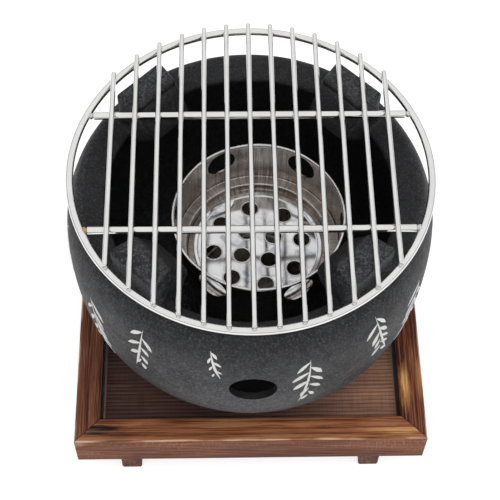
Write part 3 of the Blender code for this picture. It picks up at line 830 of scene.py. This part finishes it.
def make_bowl(material):
    """The casting: a turned bowl with four buttresses grown into it, pads on them and a draught hole."""
    edge = FOOT_RADIUS - FOOT_RING
    foot = [(edge, 0.0), (edge - FOOT_RECESS, FOOT_RECESS), (0.0, FOOT_RECESS)]
    nose = LIP_THICKNESS / 2
    lip_top = RIM_HEIGHT - LIP_DROP
    lip = arc((LIP_RADIUS + nose, lip_top - nose), nose, 270, 100, 9)
    inside = bowl_side(WALL, FLOOR, lip_top - LIP_THICKNESS)
    rim = [(RIM_RADIUS - RIM_ROUNDING, RIM_HEIGHT)]
    profile = [(0.0, FLOOR)] + inside[::-1] + lip + rim + bowl_outside() + foot
    bowl = spun("bowl_casting", [(r, BOWL_BASE + z) for r, z in profile], CAST_STEPS)
    bowl = joined([make_buttress(turn) for turn in LUG_TURNS] + [bowl], "bowl_casting")
    apply(bowl, "REMESH", mode="VOXEL", voxel_size=CAST_VOXEL)
    apply(bowl, "SMOOTH", factor=0.5, iterations=3)
    combine(bowl, "UNION", joined([make_pad(turn) for turn in LUG_TURNS], "pads"))
    combine(bowl, "DIFFERENCE", solid(
        "vent", bpy.ops.mesh.primitive_cylinder_add, vertices=64, radius=VENT_DIAMETER / 2, depth=6 * WALL,
        location=(0, WALL / 2 - BELLY_RADIUS, BOWL_BASE + VENT_HEIGHT), rotation=(math.radians(90), 0, 0),
    ))
    return hand_over(bowl, "bowl", material, ["bowl"], sharp=40)


def make_buttress(azimuth):
    """A lug's buttress: an outline of (radius, height, width) points, extruded, then narrowed at each point."""
    top = LUG_TOP - PAD_STEP
    in_wall = BELLY_RADIUS - WALL + MM
    in_lip = BOWL_BASE + RIM_HEIGHT - LIP_DROP - LIP_THICKNESS / 2
    outline = [
        (PAD_OUTER - BUTTRESS_INSET, top, 36 * MM), (PAD_INNER - BUTTRESS_INSET, top, 30 * MM),
        (59 * MM, LUG_TOP - 20 * MM, 28 * MM), (in_wall, LUG_TOP - 62 * MM, BUTTRESS_WIDTH),
        (in_wall - MM, in_lip - 2 * LIP_THICKNESS, BUTTRESS_WIDTH), (RIM_RADIUS + MM, in_lip, BUTTRESS_WIDTH),
        (PAD_OUTER - BUTTRESS_INSET, in_lip, BUTTRESS_WIDTH),
    ]
    piece = drawn("buttress", [(x, z) for x, z, _ in outline])
    take_all()
    bpy.ops.mesh.edge_face_add()
    bpy.ops.transform.translate(value=(0, -BUTTRESS_WIDTH / 2, 0))
    bpy.ops.mesh.extrude_region_move(TRANSFORM_OT_translate={"value": (0, BUTTRESS_WIDTH, 0)})
    for x, z, width in outline:
        pick(piece, "VERT", lambda vert: (vert.co.x - x) ** 2 + (vert.co.z - z) ** 2 < (0.1 * MM) ** 2)
        bpy.ops.transform.resize(value=(1, width / BUTTRESS_WIDTH, 1), center_override=(x, 0, z))
    pick(piece, "EDGE", lambda edge: max(vert.co.z for vert in edge.verts) > in_lip + MM)
    bpy.ops.mesh.bevel(offset=BUTTRESS_ROUNDING, segments=4, affect="EDGES", clamp_overlap=True)
    return turned(piece, azimuth)


def make_pad(azimuth):
    """The flat pad on a lug, narrower towards the middle of the bowl, with rounded edges."""
    middle = ((PAD_OUTER + PAD_INNER) / 2, 0, LUG_TOP - PAD_DEPTH / 2)
    piece = block("pad", middle, (PAD_OUTER - PAD_INNER, PAD_OUTER_WIDTH, PAD_DEPTH))
    pick(piece, "VERT", lambda vert: vert.co.x < PAD_INNER + MM)
    narrower = PAD_INNER_WIDTH / PAD_OUTER_WIDTH
    bpy.ops.transform.resize(value=(1, narrower, 1), center_override=(PAD_INNER, 0, LUG_TOP))
    pick(piece, "EDGE", lambda edge: max(vert.co.z for vert in edge.verts) > LUG_TOP - MM)
    bpy.ops.mesh.bevel(offset=PAD_ROUNDING, segments=5, affect="EDGES", clamp_overlap=True)
    return turned(piece, azimuth)


# Cup and plate


def make_cup(material):
    """Stepped sheet cup with a rolled rim, a ledge, a neck and a pan with a bead. Each of three rods cuts two
    holes in its wall."""
    ledge = CUP_TOP - LEDGE_DROP
    roll = RIM_ROLL / 2
    wall_out = CUP_RADIUS - roll
    neck_out = NECK_RADIUS + SHEET
    bead_top = PLATE_LOW.z - SEAT
    bead_base = bead_top - BEAD_HEIGHT
    bead_nose = PLATE_RADIUS - PLATE_SEAT_WIDTH
    outer = arc((CUP_RADIUS - roll, CUP_TOP - roll), roll, 150, -60, 12)
    outer += [(wall_out, CUP_TOP - 2 * roll), (wall_out, (CUP_TOP + ledge) / 2), (wall_out, ledge + SHEET)]
    outer += arc((wall_out - 2 * SHEET, ledge + SHEET), 2 * SHEET, 0, -90, 8)[1:]
    outer += arc((neck_out + SHEET, ledge - 2 * SHEET), SHEET, 90, 180, 6)
    outer += [(neck_out, bead_top - SHEET + BEAD_SLOPE), (bead_nose + SHEET, bead_top - SHEET)]
    outer += [(bead_nose + SHEET, bead_base + SHEET), (neck_out, bead_base + SHEET - BEAD_SLOPE)]
    outer += arc((neck_out - PAN_CORNER, CUP_BASE + PAN_CORNER), PAN_CORNER, 0, -90, 10) + [(0.0, CUP_BASE)]
    inner = [(0.0, CUP_BASE + SHEET)]
    inner += arc((NECK_RADIUS - PAN_CORNER + SHEET, CUP_BASE + PAN_CORNER), PAN_CORNER - SHEET, -90, 0, 10)
    inner += [(NECK_RADIUS, bead_base - BEAD_SLOPE), (bead_nose + 0.3 * MM, bead_base)]
    inner += [(bead_nose, bead_base + 0.5 * MM), (bead_nose, bead_top - 0.5 * MM)]
    inner += [(bead_nose + 0.3 * MM, bead_top), (NECK_RADIUS - BEAD_SLOPE, bead_top)]
    inner += [(NECK_RADIUS, bead_top + BEAD_SLOPE)]
    inner += arc((NECK_RADIUS + NECK_LIP, ledge - NECK_LIP), NECK_LIP, 180, 90, 8)
    inner += arc((wall_out - 2 * SHEET, ledge + SHEET), SHEET, 270, 360, 8)
    inner += [(wall_out - SHEET, (CUP_TOP + ledge) / 2), (wall_out - SHEET, CUP_TOP - 2 * roll)]
    cup = spun("cup_shell", inner + outer, SHEET_STEPS, CUP_X)
    for azimuth in CUP_HOLE_TURNS:
        combine(cup, "DIFFERENCE", solid(
            "rod", bpy.ops.mesh.primitive_cylinder_add, vertices=48, radius=CUP_HOLE_DIAMETER / 2,
            depth=2 * (CUP_RADIUS + SHEET), location=(CUP_X, 0, CUP_TOP - CUP_HOLE_DROP),
            rotation=(0, math.radians(90), math.radians(azimuth)),
        ))
    return hand_over(cup, "cup", material, ["charcoal_cup"])


def make_plate(material):
    """Pressed plate with a raised rim, its holes punched through low rounded lips."""
    level = PLATE_LOW.z + PLATE_THICKNESS
    top = [(share * PLATE_RADIUS, level) for share in (0.0, 0.25, 0.5, 0.75)]
    top += arc((PLATE_RADIUS - 2 * PLATE_RIM, level + 1.2 * MM), 1.2 * MM, 270, 330, 6)
    top += [(PLATE_RADIUS - 0.3 * MM, PLATE_HIGH.z), (PLATE_RADIUS, PLATE_HIGH.z - 0.3 * MM)]
    under = [(PLATE_RADIUS, level - 0.25 * MM), (PLATE_RADIUS - 0.5 * PLATE_RIM, PLATE_LOW.z)]
    plate = spun("pressed_plate", top + under + [(0.0, PLATE_LOW.z)], SHEET_STEPS, CUP_X)
    lips, punches = [], []
    for radius, count, start in PLATE_RINGS:
        for i in range(count):
            x, y = polar(radius, start + 360 / count * i)
            place = (CUP_X + x, y, level)
            lips.append(solid(
                "lip", bpy.ops.mesh.primitive_torus_add, location=place, minor_radius=PLATE_LIP,
                major_radius=PLATE_HOLE_DIAMETER / 2 + 0.8 * PLATE_LIP, major_segments=40, minor_segments=12,
            ))
            punches.append(solid(
                "punch", bpy.ops.mesh.primitive_cylinder_add, vertices=40, radius=PLATE_HOLE_DIAMETER / 2,
                depth=6 * PLATE_THICKNESS, location=place,
            ))
    combine(plate, "UNION", joined(lips, "lips"))
    combine(plate, "DIFFERENCE", joined(punches, "punches"))
    hand_over(plate, "plate", material, ["ember_plate"])
    return apply(plate, "WEIGHTED_NORMAL", keep_sharp=True, weight=80)


# Grate


def make_ring(material):
    """The round wire, a little thicker where its ends are welded together."""
    ring = begin(
        "round_wire", bpy.ops.mesh.primitive_torus_add, major_radius=RING_RADIUS, minor_radius=RING_WIRE / 2,
        major_segments=180, minor_segments=20, location=(0, 0, RING_LEVEL),
    )
    seam = Vector((*polar(RING_RADIUS, SEAM_TURN), RING_LEVEL))
    pick(ring, "VERT", lambda vert: (ring.matrix_world @ vert.co - seam).length < RING_WIRE)
    bpy.ops.transform.resize(value=(1.0, 1.04, 1.04), center_override=seam)
    return hand_over(ring, "grate", material, ["grate_ring"])


def straight_wire(name, start, end, diameter, rounding):
    """A straight wire with rounded ends between two points."""
    start, end = Vector(start), Vector(end)
    length = (end - start).length
    piece = begin(
        name, bpy.ops.mesh.primitive_cylinder_add, vertices=24, radius=diameter / 2, depth=length,
        location=(start + end) / 2, rotation=(end - start).to_track_quat("Z", "Y").to_euler(),
    )
    pick(piece, "EDGE", lambda edge: abs(edge.verts[0].co.z - edge.verts[1].co.z) < length / 2)
    bpy.ops.mesh.bevel(offset=rounding, segments=5, affect="EDGES", clamp_overlap=True)
    leave_edit()
    return piece


def make_wires(material):
    """The two cross rods and the thirteen bars, each on its packed place."""
    for name in CROSS_RODS:
        low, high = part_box(name)
        y, z = (low.y + high.y) / 2, (low.z + high.z) / 2
        rod = straight_wire(name + "_wire", (low.x, y, z), (high.x, y, z), RING_WIRE, BAR_END_ROUNDING)
        hand_over(rod, "grate", material, [name])
    for name in BARS:
        low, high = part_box(name)
        x, z = (low.x + high.x) / 2, (low.z + high.z) / 2
        bar = straight_wire(name + "_wire", (x, low.y, z), (x, high.y, z), BAR_WIRE, BAR_END_ROUNDING)
        hand_over(bar, "grate", material, [name])


def make_welds(material):
    """A small nugget under each bar where it crosses the ring and the rods, and at the rods' ends."""
    nugget = begin("weld", bpy.ops.mesh.primitive_uv_sphere_add, segments=14, ring_count=8, radius=NUGGET)
    bpy.ops.transform.resize(value=(1.0, 1.0, 0.62), center_override=(0, 0, 0))
    bpy.ops.transform.vertex_random(offset=0.12 * MM, seed=5)
    leave_edit()
    places = []
    rods = [sum(corner.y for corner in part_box(name)) / 2 for name in CROSS_RODS]
    level = RING_HIGH.z + SEAT / 2
    for name in BARS:
        low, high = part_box(name)
        x = (low.x + high.x) / 2
        reach = math.sqrt(RING_RADIUS ** 2 - x ** 2)
        for y in (-reach, *rods, reach):
            if abs(y) < reach + MM:
                places.append(((x, y, level), 1.0))
    for y in rods:
        reach = math.sqrt((RING_RADIUS - RING_WIRE / 2) ** 2 - y ** 2)
        for side in (-1, 1):
            places.append(((side * reach, y, RING_LEVEL), END_NUGGET_SHARE))
    welds = []
    for number, (place, size) in enumerate(places):
        weld = copied(nugget, f"weld_{number}")
        weld.location = place
        weld.rotation_euler.z = random.uniform(0, math.tau)
        weld.scale = (size * random.uniform(0.85, 1.1),) * 3
        if size > 1:
            weld.scale.z *= 1.7
        welds.append(weld)
    bpy.data.objects.remove(nugget, do_unlink=True)
    return hand_over(joined(welds, "weld_nuggets"), "grate", material, (), sharp=60)


# Tray


def relief(piece, direction, amount, seed):
    """Raises the hard grain lines of brushed wood, and uneven edges, as fine waves along the piece."""
    leave_edit()
    for vert in piece.data.vertices:
        along = vert.co.dot(direction)
        across = vert.co - along * direction
        fine = noise.noise(Vector((along * 22, across.x * 620 + across.y * 620 + seed, across.z * 620)))
        broad = noise.noise(Vector((along * 14 + seed, across.x * 70 + across.y * 70, across.z * 70)))
        vert.co -= vert.normal * amount * (0.9 + fine + 1.4 * broad) * 0.6


def make_rail(node, turn, material):
    """A rail with worn round edges and mitred ends, its faces divided finely enough for the brushed grain."""
    low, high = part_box("rail_front")
    length, height = high.x - low.x, high.z - low.z
    middle = (0, -(length / 2 - RAIL_WIDTH / 2), (low.z + high.z) / 2)
    piece = block(node + "_wood", middle, (length, RAIL_WIDTH, height))
    pick(piece, "EDGE", lambda edge: abs(edge.verts[0].co.x - edge.verts[1].co.x) > length / 2)
    bpy.ops.mesh.bevel(offset=RAIL_ROUNDING, segments=4, affect="EDGES")
    for i in range(1, FACE_CUTS):
        for normal, start, end in (((0, 1, 0), low.y, low.y + RAIL_WIDTH), ((0, 0, 1), low.z, high.z)):
            share = (i + 0.5 * (normal[2])) / FACE_CUTS
            take_all()
            bpy.ops.mesh.bisect(plane_co=Vector(normal) * (start + (end - start) * share), plane_no=normal)
    for side in (-1, 1):
        corner = (side * (length / 2 - MITRE_GAP), -length / 2, 0)
        take_all()
        bpy.ops.mesh.bisect(plane_co=corner, plane_no=(side, 1, 0), clear_outer=True, use_fill=True)
    cuts = int(length / 2 / RELIEF_PITCH)
    for i in range(-cuts, cuts + 1):
        take_all()
        bpy.ops.mesh.bisect(plane_co=(i * RELIEF_PITCH, 0, 0), plane_no=(1, 0, 0))
    close_up()
    leave_edit()
    relief(piece, Vector((1, 0, 0)), RELIEF, turn)
    piece.rotation_euler.z = math.radians(turn)
    return hand_over(piece, "tray", material, [node], sharp=50)


def make_board(material):
    """The floor board, with the fine grooves that brushing has left along its grain."""
    width, depth = BOARD_HIGH.x - BOARD_LOW.x, BOARD_HIGH.y - BOARD_LOW.y
    rows = round(depth / (GROOVE_PITCH / 4))
    piece = begin(
        "grooved_board", bpy.ops.mesh.primitive_grid_add, x_subdivisions=40, y_subdivisions=rows, size=1,
        location=(0, 0, BOARD_LOW.z),
    )
    bpy.ops.transform.resize(value=(width, depth, 1), center_override=(0, 0, BOARD_LOW.z))
    bpy.ops.mesh.extrude_region_move(TRANSFORM_OT_translate={"value": (0, 0, BOARD_HIGH.z - BOARD_LOW.z)})
    close_up()
    leave_edit()
    for vert in piece.data.vertices:
        if vert.co.z > BOARD_HIGH.z - MM:
            row = vert.co.y / GROOVE_PITCH * math.tau
            depth_here = 0.7 + 0.5 * noise.noise(Vector((vert.co.x * 9, vert.co.y * 400, 8.0)))
            vert.co.z -= GROOVE_DEPTH * depth_here * (0.5 - 0.5 * math.cos(row)) ** 2
    return hand_over(piece, "tray", material, ["floor_board"], sharp=60)


# Brushed leaf sprays


def outside_at(down):
    """(radius, height, outward radius share, outward height share) at this distance down from the rim."""
    points = bowl_outside()
    for (r, z), (next_r, next_z) in zip(points, points[1:]):
        out, up = next_r - r, next_z - z
        step = math.hypot(out, up)
        if down <= step:
            return r + out * (down / step), z + up * (down / step), -up / step, out / step
        down -= step
    return (*points[-1], 0.0, -1.0)


def stroke(name, start, turn, length, width, bend):
    """A brush stroke as a flat strip that swells, then runs out to a point. Start is (round, down)."""
    cosine, sine = math.cos(math.radians(turn)), math.sin(math.radians(turn))
    piece = begin(name, bpy.ops.mesh.primitive_grid_add, x_subdivisions=16, y_subdivisions=2, size=1)
    leave_edit()
    for vert in piece.data.vertices:
        share = vert.co.x + 0.5
        if share < 0.62:
            swell = math.sin(math.pi * min(share * 1.6, 1.0) * 0.5)
        else:
            swell = math.cos((share - 0.62) / 0.38 * math.pi / 2)
        half = width / 2 * max(swell, 0.06) * (1 + 0.16 * noise.noise(Vector((share * 9, turn, length * 90))))
        x, y = share * length, vert.co.y * 2 * half + bend * length * share * share
        vert.co = (start[0] + x * cosine - y * sine, 0.0, start[1] + x * sine + y * cosine)
    return piece


def make_sprays(bowl, material):
    """Leaf sprays painted round the bowl with a brush: a bent stem with leaves on both its sides."""
    strokes = []
    for number, (azimuth, down, size, leaves) in enumerate(SPRAYS):
        lean = random.uniform(-12, 12)
        x, y = math.radians(azimuth) * BELLY_RADIUS, down * MM
        stem = STEM_LENGTH * size
        way = math.radians(90 + lean)
        strokes.append(stroke("stem", (x, y), 90 + lean, stem, STEM_WIDTH, 0.10 * (-1) ** number))
        for i in range(leaves):
            share = 0.04 + 0.92 * i / leaves
            side = (-1) ** (i + number)
            turn = 90 + lean + side * random.uniform(34, 62)
            reach = random.uniform(8, 13) * MM * size * (1.15 - 0.5 * share)
            root = (x + share * stem * math.cos(way), y + share * stem * math.sin(way))
            width = random.uniform(2.2, 3.4) * MM * size
            strokes.append(stroke("leaf", root, turn, reach, width, -0.16 * side))
    spray = joined(strokes, "leaf_sprays")
    for vert in spray.data.vertices:
        round_way, down = vert.co.x, vert.co.z
        radius, height, out, up = outside_at(max(down, 0.5 * MM))
        turn = round_way / BELLY_RADIUS
        reach = radius + PAINT_REACH * out
        vert.co = (reach * math.sin(turn), -reach * math.cos(turn), BOWL_BASE + height + PAINT_REACH * up)
    apply(
        spray, "SHRINKWRAP", target=bowl, wrap_method="NEAREST_SURFACEPOINT", wrap_mode="ABOVE_SURFACE",
        offset=PAINT_GAP,
    )
    bpy.ops.object.mode_set(mode="EDIT")
    take_all()
    bpy.ops.mesh.normals_make_consistent(inside=False)
    leave_edit()
    apply(spray, "SOLIDIFY", thickness=PAINT_THICKNESS, offset=0.0)
    return hand_over(spray, "bowl", material)


# Studio


def add_camera():
    camera = bpy.data.cameras.new("camera")
    camera.lens, camera.sensor_width = LENS, SENSOR
    holder = bpy.data.objects.new("camera", camera)
    bpy.context.scene.collection.objects.link(holder)
    turn = (
        Matrix.Rotation(-math.radians(YAW), 4, "Z")
        @ Matrix.Rotation(math.radians(90 - PITCH), 4, "X")
        @ Matrix.Rotation(math.radians(ROLL), 4, "Z")
    )
    holder.matrix_world = Matrix.Translation(EYE) @ turn
    bpy.context.scene.camera = holder


def add_lamp(name, place, target, size, power):
    """A round lamp that bright metal doesn't mirror, so that wire keeps an even tone."""
    lamp = bpy.data.lights.new(name, "AREA")
    lamp.shape, lamp.size, lamp.energy = "DISK", size, power
    holder = bpy.data.objects.new(name, lamp)
    bpy.context.scene.collection.objects.link(holder)
    holder.location = place
    holder.rotation_euler = (Vector(target) - Vector(place)).to_track_quat("-Z", "Y").to_euler()
    holder.visible_glossy = False


def seen_directly(node):
    """1 for camera, glossy and transmission rays."""
    path = source(node, "LightPath")
    either = calc("MAXIMUM", path["Is Camera Ray"], path["Is Glossy Ray"])
    return calc("MAXIMUM", either, path["Is Transmission Ray"])


def set_world():
    """White all round, with a dim band above the horizon that bright wire mirrors as thin dark lines."""
    world = bpy.data.worlds.new("studio")
    bpy.context.scene.world = world
    world.use_nodes = True
    sky = world.node_tree.nodes["Background"]
    up = split(source(sky, "TexCoord")["Generated"])["Z"]
    band = times(between(up, -0.06, -0.02), between(up, 0.26, 0.14))
    dim = times(source(sky, "LightPath")["Is Glossy Ray"], times(band, BAND_DIM))
    strength = calc("SUBTRACT", between(seen_directly(sky), 0, 1, WORLD_LIGHT, 1.0), dim)
    feed(sky, {"Color": (1.0, 1.0, 1.0), "Strength": strength})


def add_floor():
    floor = solid("studio_floor", bpy.ops.mesh.primitive_plane_add, size=8, location=(0, 0, 0))
    material, shader = new_material(
        "studio floor", Base_Color=(FLOOR_GREY,) * 3, Roughness=0.9, Emission_Color=(1.0, 1.0, 1.0),
    )
    feed(shader, {"Emission Strength": between(seen_directly(shader), 0, 1, 0.0, FLOOR_GLOW)})
    floor.data.materials.append(material)


def carried_over(names, material):
    """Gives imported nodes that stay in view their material."""
    for name in names:
        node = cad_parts[name]
        node.data.materials.clear()
        node.data.materials.append(material)


bpy.context.scene.view_settings.view_transform = "Standard"
GROUPS = {
    "grain": grain_group(), "wear": wear_group(), "spot": spot_group(), "brushing": brushing_group(),
    "smudge": smudge_group(),
}
add_camera()
set_world()
add_floor()
for name, lamp in LAMPS.items():
    add_lamp(name, *lamp)

bowl = make_bowl(coated_casting())
make_sprays(bowl, brush_paint())
make_cup(cup_steel())
make_plate(plate_steel())
WIRE = wire_steel()
make_ring(WIRE)
make_wires(WIRE)
make_welds(weld_steel())

for number, (side, (seed, across, looks)) in enumerate(RAILS.items()):
    turn = 90 * number
    make_rail(f"rail_{side}", turn, scorched_wood(f"{side} rail wood", turn, seed, across, **looks))
make_board(board_wood())
carried_over(
    ["batten_left", "batten_right"],
    scorched_wood(
        "batten wood", 90, 0.66, [(0.0, (0.17, 0.066, 0.037)), (1.0, (0.26, 0.105, 0.055))],
        foot=0.2, inside=0.0, sides=BATTEN_SIDES,
    ),
)
carried_over([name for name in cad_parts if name.startswith("screw_")], screw_steel())

leave_edit()
